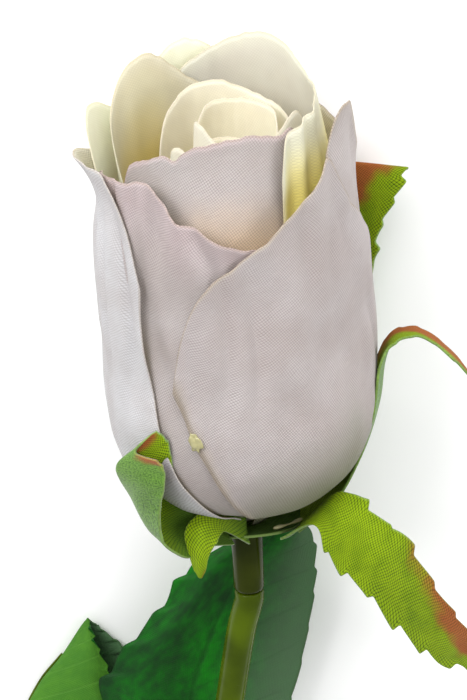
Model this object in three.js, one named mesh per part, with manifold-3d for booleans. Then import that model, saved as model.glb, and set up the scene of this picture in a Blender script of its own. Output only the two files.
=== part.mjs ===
// A cut rose of the artificial kind, lying on a table: woven cloth petals glued round a foam core,
// a cloth calyx under them, a moulded plastic stem over a steel wire, and one spray of three cloth leaves.
// Millimetres. +Y runs from the cut end of the stem to the flower, +Z is up from the table.
// The flower's own frame has its origin at the bottom of the bud: x to the right, y up the flower's axis,
// and z towards the side that faces up from the table.
import * as THREE from "three";
import Module from "manifold-3d";
import { mergeVertices } from "three/addons/utils/BufferGeometryUtils.js";

const wasm = await Module();
wasm.setup();

// ---- driving dimensions ----
const BUD_RADIUS = 21.8; // of the outermost petal at the widest part
const SHOULDER_HEIGHT = 23; // where the rounded bottom of the bud turns into its wall
const LEAN_HEIGHT = 50; // above the shoulder, where a petal leans out by its whole flare
const NECK_RADIUS = 3.6; // of the hole that the petals leave round the socket's pin
const PETAL_CLOTH = 0.5;
const LEAF_CLOTH = 0.5;
const HEAD_TILT = THREE.MathUtils.degToRad(1.5); // the flower's axis rises this much from the table
const HEAD_LEAN = THREE.MathUtils.degToRad(2.2); // and leans this much to the left of the stem's line
const STEM_END = 155; // from the bottom of the bud to the cut end
const WIRE_SHOWN = 3; // past the plastic at the cut end
const STEM_RADIUS = 2.35;
const WIRE_RADIUS = 0.9;
const SOCKET_RADIUS = 2.55;
const SOCKET_TOP = -1.5;
const SOCKET_BOTTOM = -14;
const PIN_RADIUS = 1.8;
const PIN_TOP = 26;
const CLEARANCE = 0.3;

const CLOTH_WHITE = { color: 0xd8cfcb, roughness: 0.85, metalness: 0 };
const CLOTH_CREAM = { color: 0xe6e0c8, roughness: 0.85, metalness: 0 };
const CLOTH_SEPAL = { color: 0x6f8f1c, roughness: 0.85, metalness: 0 };
const CLOTH_LEAF = { color: 0x1f5a22, roughness: 0.6, metalness: 0 };
const PLASTIC_STEM = { color: 0x3c4a12, roughness: 0.35, metalness: 0 };
const FOAM = { color: 0xe9e7df, roughness: 0.95, metalness: 0 };
const STEEL = { color: 0x9a9a98, roughness: 0.4, metalness: 0.9 };
const GLUE = { color: 0xd9c9b4, roughness: 0.3, metalness: 0 };

// ---- shared shapes ----
// A value that runs smoothly through equally spaced control values as share goes from 0 to 1.
function along(values, share) {
  if (values.length === 1) return values[0];
  const points = values.map((value, i) => new THREE.Vector2(i / (values.length - 1), value));
  return new THREE.SplineCurve(points).getPoint(THREE.MathUtils.clamp(share, 0, 1)).y;
}

function named(name, geometry, finish) {
  const mesh = new THREE.Mesh(geometry, new THREE.MeshStandardMaterial(finish));
  mesh.name = name;
  return mesh;
}

// A sheet of cloth: a thin box, cut in columns and rows, whose every point is laid on surface(u, v).
function sheet(surface, columns, rows, cloth) {
  const geometry = new THREE.BoxGeometry(1, 1, cloth, columns, rows, 1);
  const position = geometry.attributes.position;
  const step = 1e-3;
  for (let i = 0; i < position.count; i++) {
    const u = position.getX(i) + 0.5;
    const v = position.getY(i) + 0.5;
    const middle = surface(u, v);
    const across = surface(u + step, v).sub(surface(u - step, v));
    const up = surface(u, v + step).sub(surface(u, v - step));
    const normal = across.cross(up).normalize();
    position.setXYZ(i, ...middle.addScaledVector(normal, position.getZ(i)));
  }
  return mergeVertices(withPositionsOnly(geometry), 1e-4);
}

// A round bar laid along a curve, as thick as radiusAt says.
function bar(curve, radiusAt, sides, steps) {
  const geometry = new THREE.CylinderGeometry(1, 1, 1, sides, steps);
  const position = geometry.attributes.position;
  const frames = curve.computeFrenetFrames(steps, false);
  for (let i = 0; i < position.count; i++) {
    const share = position.getY(i) + 0.5;
    const k = Math.round(share * steps);
    const radius = radiusAt(share);
    const point = curve
      .getPointAt(share)
      .addScaledVector(frames.normals[k], position.getX(i) * radius)
      .addScaledVector(frames.binormals[k], -position.getZ(i) * radius);
    position.setXYZ(i, ...point);
  }
  return mergeVertices(withPositionsOnly(geometry), 1e-4);
}

function withPositionsOnly(geometry) {
  geometry.deleteAttribute("normal");
  geometry.deleteAttribute("uv");
  return geometry;
}

function solid(geometry) {
  const merged = mergeVertices(withPositionsOnly(geometry.clone()), 1e-4);
  const triVerts = new Uint32Array(merged.index.array);
  return new wasm.Manifold(new wasm.Mesh({ numProp: 3, vertProperties: merged.attributes.position.array, triVerts }));
}

function geometryOf(made) {
  const mesh = made.getMesh();
  const geometry = new THREE.BufferGeometry();
  geometry.setAttribute("position", new THREE.BufferAttribute(mesh.vertProperties, 3));
  return geometry.setIndex(new THREE.BufferAttribute(mesh.triVerts, 1));
}

function lathe(profile, sides) {
  return new THREE.LatheGeometry(profile.map(([r, y]) => new THREE.Vector2(r, y)), sides);
}

const curve3 = (points) => new THREE.CatmullRomCurve3(points.map((p) => new THREE.Vector3(...p)));

// ---- petals ----
// Each petal is a cloth blade bent round the bud. angles: its two edges in degrees, 0 at the top side of
// the lying flower and 90 at its right. rim: how high the petal reaches, from its first edge to its last.
// depth: how far it lies inside the bud's outer face at its two edges. flare: how far its rim leans out.
// start: the height where it is glued on; 0 is the bottom of the bud. foot: how wide the foot is.
const PETALS = [
  { name: "petal_outer_front_right", angles: [-27, 118], rim: [33, 53, 58.7, 66, 61.5, 53.5, 47, 44],
    depth: [0, 0], flare: [0, 0, 0, 0, -0.4, -0.6], foot: 0.62, grid: [11, 7] },
  { name: "petal_outer_left", angles: [-152, -41], rim: [50, 60, 65, 67.4, 65, 49],
    depth: [0, 0], flare: [-0.8, 0, 2.6, 3.2, 0.6, 0], foot: 0.7, grid: [9, 7] },
  { name: "petal_outer_front_left", angles: [-84, 24], rim: [62, 65, 66, 61.4, 58, 55],
    depth: [1.35, 1.35], flare: [-0.4, -0.4, -0.4, -0.3, -0.5, -0.7], foot: 0.72, grid: [8, 7] },
  { name: "petal_outer_right", angles: [46, 106], rim: [69, 75.5, 68, 64],
    depth: [1.35, 1.35], flare: [-1.2, -1, -0.9, -1], foot: 0.8, grid: [4, 8] },
  { name: "petal_outer_back", angles: [108, 222], rim: [62, 65.5, 67.5, 68, 66, 58],
    depth: [1.35, 1.35], flare: [-1.5, -1.2, -1.2, -1.2, -1.2, -1.5], foot: 0.8, grid: [8, 9] },
  { name: "petal_cup_left", angles: [226, 274], rim: [64, 68, 71, 63],
    depth: [2.6, 2.6], flare: [-1.6, -1.4, -1.2, -1.2], foot: 0.8, grid: [5, 8] },
  { name: "petal_cup_back", angles: [168, 224], rim: [66, 73, 76.8, 75.8, 69],
    depth: [2.6, 2.6], flare: [-1.6, -1.5, -1.5, -1.5, -1.6], foot: 0.8, grid: [5, 8] },
  { name: "petal_cup_front", angles: [-68, 46], rim: [62, 69, 71, 73, 73, 70],
    depth: [3.65, 3.65], flare: [-1.6, -2, -2.2, -2.4, -2.6, -2.8], foot: 0.75, grid: [8, 6] },
  { name: "petal_cup_right", angles: [33, 216], rim: [62, 75.5, 75, 74, 77.5, 71],
    depth: [2.5, 4.2], flare: [-1.8, -3.6, -4, -3, -2.2, -2.6], foot: 0.8, grid: [12, 6] },
  { name: "petal_cup_back_left", angles: [184, 322], rim: [69, 74.5, 74, 64, 61, 58],
    depth: [5.4, 5.1], flare: [-2.6, -2.6, -2.4, -3, -3, -3], foot: 0.8, grid: [10, 6] },
  { name: "petal_heart_back", angles: [68, 288], rim: [64, 69, 72, 72.5, 69.5, 62],
    depth: [8.6, 8.6], flare: [-3, -3.6, -3.8, -3.8, -3.8, -3], start: 22, foot: 1, grid: [12, 4] },
  { name: "petal_heart_front", angles: [-66, 62], rim: [58, 64, 68, 68],
    depth: [8.6, 8.6], flare: [-4, -4.4, -4.4, -4], start: 22, foot: 1, grid: [7, 4] },
  { name: "petal_heart_right", angles: [-10, 205], rim: [62, 66, 70, 71, 70],
    depth: [9.8, 10.6], flare: [-6, -6, -6, -6, -6], start: 24, foot: 1, grid: [11, 4] },
  { name: "petal_heart_left", angles: [214, 342], rim: [64, 68, 68, 62],
    depth: [9.8, 9.8], flare: [-5.2, -5.2, -5, -5], start: 24, foot: 1, grid: [7, 4] },
  { name: "petal_heart_roll", angles: [20, 330], rim: [64, 67, 69, 70, 70, 66],
    depth: [11.8, 12.9], flare: [-7.2, -7.2, -7, -7, -7.2, -7.4], start: 26, foot: 1, grid: [12, 4] },
];

// The bud's rounded bottom, cut by a plane through its axis: radius and height from the neck to the shoulder.
const FACE = new THREE.SplineCurve([
  new THREE.Vector2(NECK_RADIUS, 0),
  new THREE.Vector2(6.6, 2.6),
  new THREE.Vector2(10.2, 5),
  new THREE.Vector2(15.4, 8),
  new THREE.Vector2(18.8, 12),
  new THREE.Vector2(21, 17),
  new THREE.Vector2(BUD_RADIUS, SHOULDER_HEIGHT),
]);
const FOOT_ARC = FACE.getLength();

// Radius and height of the bud's face at a distance along the cloth, for a petal that lies at that depth.
function budFace(distance, depth) {
  const wide = BUD_RADIUS - depth;
  if (distance > FOOT_ARC) return [wide, SHOULDER_HEIGHT + distance - FOOT_ARC];
  const outer = FACE.getPointAt(Math.max(0, distance) / FOOT_ARC);
  const shrink = (wide - NECK_RADIUS) / (BUD_RADIUS - NECK_RADIUS);
  return [NECK_RADIUS + (outer.x - NECK_RADIUS) * shrink, depth + outer.y * (1 - depth / SHOULDER_HEIGHT)];
}

function petalSurface({ angles, rim, depth, flare, start = 0, foot }) {
  const middle = (angles[0] + angles[1]) / 2;
  return (u, v) => {
    const first = start === 0 ? 0 : FOOT_ARC + start - SHOULDER_HEIGHT;
    const last = FOOT_ARC + along(rim, u) - SHOULDER_HEIGHT;
    const distance = first + (last - first) * v;
    const inset = THREE.MathUtils.lerp(depth[0], depth[1], u);
    const [radius, height] = budFace(distance, inset);
    const spread = start === 0 ? foot + (1 - foot) * Math.sin((Math.min(v / 0.55, 1) * Math.PI) / 2) : 1;
    const angle = THREE.MathUtils.degToRad(middle + (u - 0.5) * (angles[1] - angles[0]) * spread);
    const rise = Math.max(0, height - SHOULDER_HEIGHT) / LEAN_HEIGHT;
    const out = radius + along(flare, u) * rise ** 2;
    return new THREE.Vector3(out * Math.sin(angle), height, out * Math.cos(angle));
  };
}

function petal(shape) {
  const finish = shape.name.includes("outer") ? CLOTH_WHITE : CLOTH_CREAM;
  return named(shape.name, sheet(petalSurface(shape), ...shape.grid, PETAL_CLOTH), finish);
}

const head = new THREE.Group();
for (const shape of PETALS) head.add(petal(shape));

// ---- core and socket ----
const CORE_BOTTOM = 7;
const CORE_TOP = 50;
const CORE_RADIUS = 7.8;
const bore = PIN_RADIUS + CLEARANCE;
const coreProfile = [
  [0, PIN_TOP + 1], [bore, PIN_TOP + 1], [bore, CORE_BOTTOM], [4, CORE_BOTTOM + 0.6], [6.8, CORE_BOTTOM + 4],
  [CORE_RADIUS, CORE_BOTTOM + 14], [CORE_RADIUS, CORE_BOTTOM + 26], [6.2, CORE_TOP - 5], [3.6, CORE_TOP - 1],
  [0, CORE_TOP],
];
head.add(named("bud_core", lathe(coreProfile, 16), FOAM));

const socketBore = WIRE_RADIUS + CLEARANCE;
const socketProfile = [
  [0, SOCKET_TOP - 2], [socketBore, SOCKET_TOP - 2], [socketBore, SOCKET_BOTTOM], [SOCKET_RADIUS, SOCKET_BOTTOM],
  [SOCKET_RADIUS + 0.1, SOCKET_TOP], [PIN_RADIUS, SOCKET_TOP], [PIN_RADIUS, PIN_TOP - 1], [PIN_RADIUS - 0.6, PIN_TOP],
  [0, PIN_TOP],
];
head.add(named("head_socket", lathe(socketProfile, 14), PLASTIC_STEM));

// ---- calyx ----
// One star cut from green cloth, slid up the pin to the bottom of the bud. Each arm follows its own line,
// and faces the way that its face vector points.
const CALYX_RADIUS = 8.6;
const CALYX_HOLE = PIN_RADIUS + CLEARANCE;
const ARM_START = 4;
// A point round the flower's axis, and one that clears the bud's outer face by a gap.
const polar = (degrees, radius, height) => {
  const angle = THREE.MathUtils.degToRad(degrees);
  return [radius * Math.sin(angle), height, radius * Math.cos(angle)];
};
const FACE_STEPS = FACE.getPoints(60);
const onBud = (degrees, height, gap) => {
  const level = FACE_STEPS.find((point) => point.y >= height);
  return polar(degrees, (level ? level.x : BUD_RADIUS) + gap, height);
};
const ARMS = [
  // bent out to the left and folded up along the bud
  { path: [polar(-95, 4, -0.7), polar(-92, 12, -1.2), polar(-85, 20, 1), polar(-74, 24, 8), onBud(-60, 15, 2.2),
      onBud(-46, 21, 1.6)], width: [8, 9, 10, 9, 6, 2] },
  // short and folded down in front
  { path: [polar(-4, 4, -0.7), polar(-10, 10, -1.2), polar(-16, 14, -4), polar(-24, 15.5, -8)],
    width: [7, 7, 6, 1.5] },
  // hanging away to the right
  { path: [polar(45, 4, -0.7), polar(50, 11, -0.4), [15.5, -0.6, 9.5], [21, -4, 10.2], [28, -11, 8], [36, -24, 2],
      [40, -33, -6], [42, -39, -13]], width: [8, 9, 11, 12, 12, 10, 7, 2], face: [0.5, 0.5, 1] },
  // up the right side and curled away from the bud
  { path: [polar(92, 4, -0.7), polar(92, 12, 0.6), onBud(92, 7, 3), onBud(92, 15, 2), onBud(92, 25, 1.7),
      [26.5, 31, -1], [32, 32, -1], [38, 28, -1], [42, 22, -1]], width: [7, 9, 11, 11, 9, 8, 7, 6, 2] },
  // up the far right side of the bud, leaning away near its tip
  { path: [polar(130, 4, -0.7), polar(130, 12, 0.6), onBud(130, 7, 3), onBud(130, 16, 1.9), onBud(130, 32, 1.6),
      onBud(129, 46, 1.6), onBud(126, 56, 3)], width: [7, 9, 11, 12, 12, 11, 7] },
  // flat along the underside of the bud, between it and the table
  { path: [polar(190, 4, -0.7), polar(190, 12, 1), onBud(190, 7, 2.2), onBud(190, 16, 0.6), onBud(190, 34, 0.3),
      onBud(190, 50, -0.1)], width: [7, 9, 11, 12, 10, 2] },
];

// An arm faces away from the middle of the bud and is rounded to it, unless it has a face vector of its own.
function armSurface({ path, face, width }) {
  const line = curve3(path);
  return (u, v) => {
    const share = THREE.MathUtils.clamp(v, 0, 1);
    const point = line.getPoint(share);
    const facing = new THREE.Vector3(point.x, Math.min(0, point.y - SHOULDER_HEIGHT), point.z).normalize();
    if (face) facing.lerp(new THREE.Vector3(...face), THREE.MathUtils.smoothstep(share, 0.2, 0.5)).normalize();
    const side = line.getTangent(share).cross(facing).normalize();
    const over = line.getTangent(share).multiplyScalar((v - share) * 10);
    const reach = (0.5 - u) * along(width, share);
    const sag = face ? 0 : reach ** 2 / (2 * BUD_RADIUS);
    return point.add(over).addScaledVector(side, reach).addScaledVector(facing, -sag);
  };
}

const disc = lathe([[CALYX_HOLE, -0.95], [CALYX_RADIUS, -0.95], [CALYX_RADIUS, -0.45], [CALYX_HOLE, -0.45],
  [CALYX_HOLE, -0.95]], 20);
let star = solid(disc);
for (const arm of ARMS) star = star.add(solid(sheet(armSurface(arm), 2, 8, LEAF_CLOTH)));
head.add(named("calyx", geometryOf(star), CLOTH_SEPAL));

// ---- the head lies on the table, on the far side of its widest part ----
head.rotation.set(HEAD_TILT, 0, HEAD_LEAN, "ZXY");
head.updateMatrixWorld(true);
head.position.z = -new THREE.Box3().setFromObject(head, true).min.z;
head.updateMatrixWorld(true);
const fromHead = (x, y, z) => new THREE.Vector3(x, y, z).applyMatrix4(head.matrixWorld);

// ---- stem ----
// The wire runs up into the socket's bore; the plastic round it ends just under the socket.
const stemRoute = [
  fromHead(0, SOCKET_BOTTOM - CLEARANCE, 0),
  fromHead(0, SOCKET_BOTTOM - 2, 0),
  new THREE.Vector3(-0.6, -21.5, 20.6),
  new THREE.Vector3(-2.2, -34, 18.6),
  new THREE.Vector3(-5.4, -62, 14.2),
  new THREE.Vector3(-7.2, -92, 9.4),
  new THREE.Vector3(-6.6, -122, 5.2),
  new THREE.Vector3(-4, -STEM_END, STEM_RADIUS),
];
const stemLine = new THREE.CatmullRomCurve3(stemRoute);
const wireLine = new THREE.CatmullRomCurve3([
  fromHead(0, SOCKET_TOP - 3, 0),
  fromHead(0, (SOCKET_TOP + SOCKET_BOTTOM) / 2 - 1, 0),
  ...stemRoute.slice(0, -1),
  new THREE.Vector3(-3.7, -STEM_END - WIRE_SHOWN, STEM_RADIUS - 0.1),
]);
const STEM_STEPS = 14;
const tube = solid(bar(stemLine, () => STEM_RADIUS, 10, STEM_STEPS));
const boreCutter = solid(bar(wireLine, () => WIRE_RADIUS + CLEARANCE, 6, STEM_STEPS * 2));
const rose = new THREE.Group();
rose.add(head);
rose.add(named("stem_wire", bar(wireLine, () => WIRE_RADIUS, 6, STEM_STEPS * 2), STEEL));

// ---- leaves ----
// Three cloth leaves, each glued on the moulded rib of one plastic stalk that clips round the stem.
// line runs along a leaf's rib from its base to its tip. halves: how many degrees its left and its right half
// are turned up from flat; the left leaf's left half is folded over onto its right one.
const CLIP_AT = 0.52;
const CLIP_LENGTH = 7;
const LEAVES = [
  { name: "leaf_middle", line: [[-7, -58, 8], [-8.6, -40, 10.8], [-5.4, -28.6, 12], [-1.8, -19.8, 12.3], [3, -12, 12],
      [9.4, -5, 11.2]], width: [3, 21, 31, 31, 26, 1.5], halves: [-12, -12] },
  { name: "leaf_left", line: [[-12, -66, 4.4], [-25, -62, 4.6], [-34.5, -52, 4.4], [-35, -42, 4], [-26, -27.4, 3.2]],
    width: [3, 24, 32, 31, 1.5], halves: [152, 0] },
  { name: "leaf_right", line: [[1, -67, 4.4], [13, -66, 6.6], [28, -66, 5.8], [43, -62, 2.2]],
    width: [3, 18, 25, 25, 18, 1.5], halves: [-14, -14] },
];
const STALK_FORK = new THREE.Vector3(-6.2, -71, 4.6);
const RIB_RADIUS = 0.7;

function leafSurface({ line, width, halves }) {
  const rib = curve3(line);
  const up = new THREE.Vector3(0, 0, 1);
  return (u, v) => {
    const share = THREE.MathUtils.clamp(v, 0, 1);
    const tangent = rib.getTangent(share);
    const side = tangent.clone().cross(up).normalize();
    const reach = u * 2 - 1;
    const half = (Math.abs(reach) * along(width, share)) / 2;
    const turn = THREE.MathUtils.degToRad(reach < 0 ? halves[0] : halves[1]);
    const out = half * Math.cos(turn) * Math.sign(reach);
    return rib.getPoint(share).addScaledVector(tangent, (v - share) * 10).addScaledVector(side, out)
      .addScaledVector(up, half * Math.sin(turn));
  };
}

const clipCentre = stemLine.getPointAt(CLIP_AT);
const clipEnd = stemLine.getPointAt(CLIP_AT + CLIP_LENGTH / stemLine.getLength());
const clipLine = new THREE.CatmullRomCurve3([clipCentre, clipCentre.clone().lerp(clipEnd, 0.5), clipEnd]);
let stalk = solid(bar(clipLine, () => STEM_RADIUS + CLEARANCE + 0.8, 10, 2));
const underClip = clipEnd.clone().lerp(clipCentre, 0.5).add(new THREE.Vector3(0, 0, -STEM_RADIUS - 0.9));
const trunk = new THREE.CatmullRomCurve3([underClip, underClip.clone().lerp(STALK_FORK, 0.5), STALK_FORK]);
stalk = stalk.add(solid(bar(trunk, () => 1.1, 8, 4)));
for (const leaf of LEAVES) {
  const start = STALK_FORK;
  const under = leaf.line.map(([x, y, z]) => new THREE.Vector3(x, y, z - LEAF_CLOTH / 2 - RIB_RADIUS - CLEARANCE));
  under[under.length - 1].lerp(under[under.length - 2], 0.3);
  const rib = new THREE.CatmullRomCurve3([start, ...under]);
  stalk = stalk.add(solid(bar(rib, (share) => RIB_RADIUS * (1.25 - 0.6 * share), 6, 12)));
  rose.add(named(leaf.name, sheet(leafSurface(leaf), 4, 8, LEAF_CLOTH), CLOTH_LEAF));
}
const clipHole = solid(bar(stemLine, () => STEM_RADIUS + CLEARANCE, 10, STEM_STEPS));
rose.add(named("leaf_stalk", geometryOf(stalk.subtract(clipHole)), PLASTIC_STEM));
rose.add(named("stem", geometryOf(tube.subtract(boreCutter)), PLASTIC_STEM));

// ---- dried glue ----
const drop = new THREE.SphereGeometry(1, 8, 6).scale(1.6, 2.4, 0.45);
const dropAt = new THREE.Vector3(...onBud(-19, 25, 0.8));
const dropTurn = Math.atan2(dropAt.x, dropAt.z);
const glueDrop = named("glue_drop", mergeVertices(withPositionsOnly(drop), 1e-4), GLUE);
glueDrop.position.copy(dropAt);
glueDrop.rotation.y = dropTurn;
head.add(glueDrop);

// ---- the origin is the middle of the underside of the box round the whole rose ----
const whole = new THREE.Group();
whole.add(rose);
whole.updateMatrixWorld(true);
const box = new THREE.Box3().setFromObject(rose, true);
rose.position.set(-(box.min.x + box.max.x) / 2, -(box.min.y + box.max.y) / 2, -box.min.z);

export default whole;
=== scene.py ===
import bmesh
import bpy
import math
from mathutils import Matrix, Vector, noise


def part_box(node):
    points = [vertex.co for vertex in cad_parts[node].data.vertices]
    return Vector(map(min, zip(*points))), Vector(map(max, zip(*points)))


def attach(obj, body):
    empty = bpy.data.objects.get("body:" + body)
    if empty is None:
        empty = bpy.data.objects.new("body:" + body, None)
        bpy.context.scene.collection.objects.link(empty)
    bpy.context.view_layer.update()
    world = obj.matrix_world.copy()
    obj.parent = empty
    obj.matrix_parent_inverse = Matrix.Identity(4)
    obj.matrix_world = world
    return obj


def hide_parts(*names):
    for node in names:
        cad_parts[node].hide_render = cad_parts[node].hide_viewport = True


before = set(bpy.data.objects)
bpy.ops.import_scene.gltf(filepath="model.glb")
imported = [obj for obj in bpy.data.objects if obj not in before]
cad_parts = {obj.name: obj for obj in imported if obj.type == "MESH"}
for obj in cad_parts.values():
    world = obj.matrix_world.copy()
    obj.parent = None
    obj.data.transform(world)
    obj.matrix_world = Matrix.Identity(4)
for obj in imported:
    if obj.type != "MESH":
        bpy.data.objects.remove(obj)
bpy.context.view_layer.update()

# ----------------------------------------------------------
# The lying flower. Its axis runs up the bud, leans a little to the left of the stem and rises
# a little from the table. The flower's own frame starts at the bottom of the bud: x to the
# right, y up the axis and z to the side that faces up. Lengths here are millimetres.
HEAD_TILT = math.radians(1.5)
HEAD_LEAN = math.radians(2.2)
SOCKET_MIDDLE = 6
MM = 0.001

socket_low, socket_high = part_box("head_socket")
head_turn = Matrix.Rotation(HEAD_LEAN, 4, "Z") @ Matrix.Rotation(HEAD_TILT, 4, "X")
axis_point = (Vector(socket_low) + Vector(socket_high)) / 2
head_place = Matrix.Translation(axis_point) @ head_turn @ Matrix.Translation((0, -SOCKET_MIDDLE * MM, 0))
flower_to_row = head_place @ Matrix.Scale(MM, 4)


def colour(red, green, blue):
    """A paint chart's 0 to 255 values as the linear colour that a shader takes."""
    parts = [part / 255 for part in (red, green, blue)]
    linear = [part / 12.92 if part < 0.04045 else ((part + 0.055) / 1.055) ** 2.4 for part in parts]
    return (*linear, 1)


class Level:
    """A number that varies over a surface. Arithmetic on it adds the Math nodes that work it out."""

    def __init__(self, finish, socket):
        self.finish = finish
        self.socket = socket

    def maths(self, operation, *others):
        levels = dict(enumerate((self, *others)))
        return self.finish.add("ShaderNodeMath", {"operation": operation}, levels)

    def __add__(self, other):
        return self.maths("ADD", other)

    def __sub__(self, other):
        return self.maths("SUBTRACT", other)

    def __rsub__(self, other):
        return (self * -1).maths("ADD", other)

    def __mul__(self, other):
        return self.maths("MULTIPLY", other)

    def between(self, low, high):
        """0 where this is at low, 1 where it is at high, and smooth between them."""
        settings = {"interpolation_type": "SMOOTHSTEP"}
        if low < high:
            return self.finish.add("ShaderNodeMapRange", settings, {0: self, 1: low, 2: high})
        return self.finish.add("ShaderNodeMapRange", settings, {0: self, 1: high, 2: low, 3: 1.0, 4: 0.0})


class Finish:
    """A material under construction."""

    def __init__(self, name):
        self.material = bpy.data.materials.new(name)
        self.material.use_nodes = True
        self.tree = self.material.node_tree
        self.tree.nodes.clear()

    def add(self, kind, settings, inputs, output=0):
        node = self.tree.nodes.new(kind)
        for setting, value in settings.items():
            setattr(node, setting, value)
        for socket, value in inputs.items():
            if isinstance(value, Level):
                self.tree.links.new(value.socket, node.inputs[socket])
            else:
                node.inputs[socket].default_value = value
        return Level(self, node.outputs[output])

    def blend(self, first, second, share):
        """first where share is 0, second where it is 1."""
        return self.add("ShaderNodeMix", {"data_type": "RGBA"}, {0: share, 6: first, 7: second}, 2)

    def tint(self, base, by, share):
        """base multiplied by another colour."""
        settings = {"data_type": "RGBA", "blend_type": "MULTIPLY"}
        return self.add("ShaderNodeMix", settings, {0: share, 6: base, 7: by}, 2)

    def across(self, uv_map):
        """The two numbers of a piece's own map."""
        place = self.add("ShaderNodeUVMap", {"uv_map": uv_map}, {})
        return (
            self.add("ShaderNodeSeparateXYZ", {}, {0: place}, 0),
            self.add("ShaderNodeSeparateXYZ", {}, {0: place}, 1),
        )

    def point(self, x, y, z=0.0):
        return self.add("ShaderNodeCombineXYZ", {}, {0: x, 1: y, 2: z})

    def grain(self, place, scale, detail=2.0):
        """Cloudy noise from 0 to 1."""
        inputs = {"Vector": place, "Scale": scale, "Detail": detail}
        return self.add("ShaderNodeTexNoise", {"noise_dimensions": "3D"}, inputs)

    def bump(self, height, depth, strength=1.0):
        inputs = {"Strength": strength, "Distance": depth, "Height": height}
        return self.add("ShaderNodeBump", {}, inputs)

    def surface(self, **sockets):
        inputs = {name.replace("_", " "): value for name, value in sockets.items()}
        return self.add("ShaderNodeBsdfPrincipled", {}, inputs)

    def speckle(self, scale, detail):
        """Cloudy noise fixed to the piece itself."""
        return self.grain(self.add("ShaderNodeTexCoord", {}, {}, "Object"), scale, detail)

    def thin(self, cloth, share, tint):
        """The finished material of a thin cloth, which lets that share of the light through."""
        through = self.add("ShaderNodeBsdfTranslucent", {}, {"Color": tint})
        return self.done(self.add("ShaderNodeMixShader", {}, {0: share, 1: cloth, 2: through}))

    def done(self, shader):
        output = self.tree.nodes.new("ShaderNodeOutputMaterial")
        self.tree.links.new(shader.socket, output.inputs["Surface"])
        return self.material


# ----------------------------------------------------------
# Petals. Fifteen blades of thin plain-woven polyester, heat-shaped and glued by the foot round
# the foam core, each overlapping the next. The cloth is off-white, dyed mauve on the outside of
# the outer ones, yellow to peach towards the foot of the inner ones, and pinkish at cut rims. The
# outer ones turn greenish towards the foot, a green tint darkened with painted shade, and the
# pale and heart petals give off a painted glow.
BUD_RADIUS = 21.8
SHOULDER = 23
NECK = 3.6
BUD_FACE = [(NECK, 0), (6.6, 2.6), (10.2, 5), (15.4, 8), (18.8, 12), (21, 17), (BUD_RADIUS, SHOULDER)]
LEAN_HEIGHT = 50
PETAL_THICKNESS = 0.2
THREAD = 0.36
RIM_WAVES = 0.35
RIM_NICKS = 0.34
CREASE_DEPTH = 0.8
CREASE_SHARPNESS = 0.25
PUCKER_DEPTH = 0.35


def along(stations, at):
    """A smooth curve through (place, value) stations."""
    if at <= stations[0][0]:
        return stations[0][1]
    if at >= stations[-1][0]:
        return stations[-1][1]
    k = next(i for i in range(len(stations) - 1) if at <= stations[i + 1][0])
    (a, first), (b, last) = stations[k], stations[k + 1]
    before = stations[max(k - 1, 0)]
    after = stations[min(k + 2, len(stations) - 1)]
    width = b - a
    slope_in = (last - before[1]) / (b - before[0]) * width
    slope_out = (after[1] - first) / (after[0] - a) * width
    t = (at - a) / width
    return (
        first * (1 + 2 * t) * (1 - t) ** 2
        + slope_in * t * (1 - t) ** 2
        + last * t * t * (3 - 2 * t)
        + slope_out * t * t * (t - 1)
    )


def smooth(low, high, value):
    """0 up to low, 1 from high on, and smooth between them; high may be the smaller of the two."""
    share = min(1, max(0, (value - low) / (high - low)))
    return share * share * (3 - 2 * share)


def up_the_face():
    """How the bud's radius and height grow with the distance travelled up it from the foot."""
    travel = 0
    radii, heights = [(0, NECK)], [(0, 0)]
    for (r_low, h_low), (r_high, h_high) in zip(BUD_FACE, BUD_FACE[1:]):
        travel += math.hypot(r_high - r_low, h_high - h_low)
        radii.append((travel, r_high))
        heights.append((travel, h_high))
    return travel, radii, heights


FOOT_ARC, FACE_RADII, FACE_HEIGHTS = up_the_face()


def bud_face(travel, inset):
    """Radius and height at that distance up the bud, a little inside its outer face."""
    radius = along(FACE_RADII, travel)
    height = along(FACE_HEIGHTS, travel) + max(0, travel - FOOT_ARC)
    shrink = (BUD_RADIUS - inset - NECK) / (BUD_RADIUS - NECK)
    return NECK + (radius - NECK) * shrink, height + inset * max(0, 1 - height / SHOULDER)


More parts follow.
